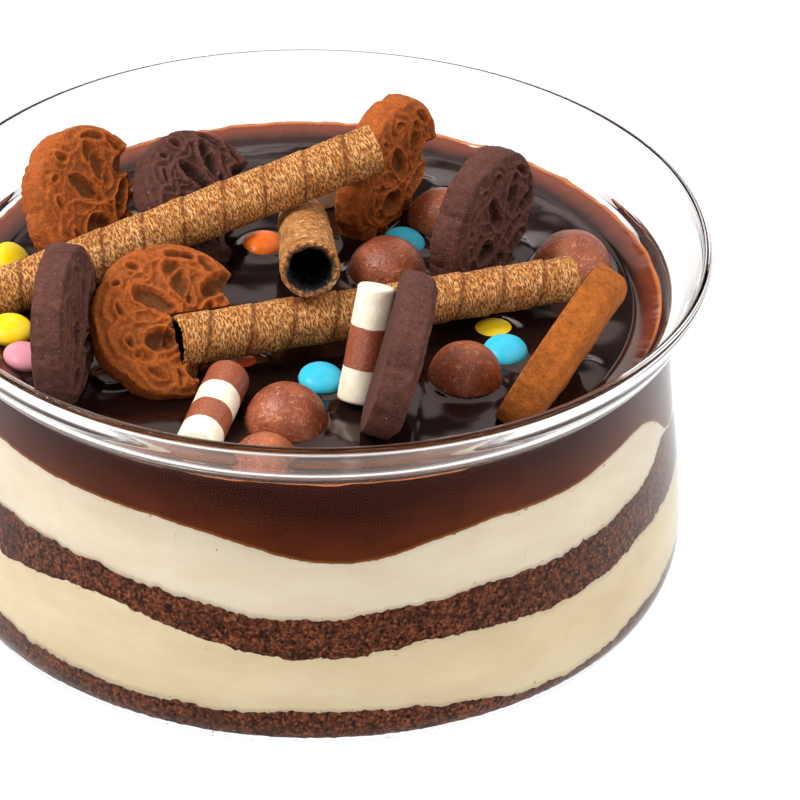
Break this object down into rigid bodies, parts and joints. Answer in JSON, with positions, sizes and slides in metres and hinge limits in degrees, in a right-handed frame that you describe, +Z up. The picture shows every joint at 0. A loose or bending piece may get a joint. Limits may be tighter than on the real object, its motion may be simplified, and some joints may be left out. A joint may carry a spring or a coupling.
{
  "type": "trifle in a glass bowl",
  "caption": "Layered chocolate trifle filling a clear flared glass bowl, topped with moulded biscuits, wafer rolls, chocolate balls and sugar-shelled sweets.",
  "frame": {"origin": "middle of the bowl's base, on the surface that it stands on", "axes": "+Z up along the bowl's axis; -Y is the side that the picture was taken from; +X is to the right seen from there"},
  "size_m": [0.2104, 0.2104, 0.1211],
  "materials": {
    "glass": "clear, polished",
    "sponge": "moist chocolate sponge crumb",
    "cream": "smooth set cream",
    "ganache": "glossy set chocolate",
    "wafer": "dry pitted wafer",
    "stick": "satin cream sweet with brown bands",
    "cookie_brown": "dry baked biscuit",
    "cookie_plain": "dry fine-grained biscuit",
    "cookie_dark": "dry dark cocoa biscuit",
    "ball": "satin milk chocolate",
    "lentil_blue": "glossy sugar shell",
    "lentil_yellow": "glossy sugar shell",
    "lentil_orange": "glossy sugar shell",
    "lentil_red": "glossy sugar shell",
    "lentil_pink": "glossy sugar shell"
  },
  "bodies": {
    "root": {"glass_bowl": "glass", "sponge_lower": "sponge", "cream_lower": "cream", "sponge_upper": "sponge", "cream_upper": "cream", "ganache": "ganache", "wafer_roll_front": "wafer", "wafer_roll_middle": "wafer", "wafer_roll_back": "wafer", "stick_standing": "stick", "stick_lying": "stick", "stick_hidden": "stick", "cookie_dark_front": "cookie_dark", "cookie_plain_right": "cookie_plain", "cookie_dark_left": "cookie_dark", "cookie_brown_left": "cookie_brown", "cookie_brown_back_left": "cookie_brown", "cookie_dark_back": "cookie_dark", "cookie_brown_back": "cookie_brown", "cookie_dark_right": "cookie_dark", "ball_middle": "ball", "ball_right": "ball", "ball_front": "ball", "ball_front_edge": "ball", "ball_far_right": "ball", "ball_back": "ball", "lentil_yellow_right": "lentil_yellow", "lentil_blue_right": "lentil_blue", "lentil_blue_front": "lentil_blue", "lentil_blue_middle": "lentil_blue", "lentil_orange_back": "lentil_orange", "lentil_yellow_left": "lentil_yellow", "lentil_pink_left": "lentil_pink", "lentil_yellow_back": "lentil_yellow", "lentil_yellow_middle": "lentil_yellow", "lentil_blue_hidden": "lentil_blue", "lentil_red_front": "lentil_red"}
  },
  "joints": []
}
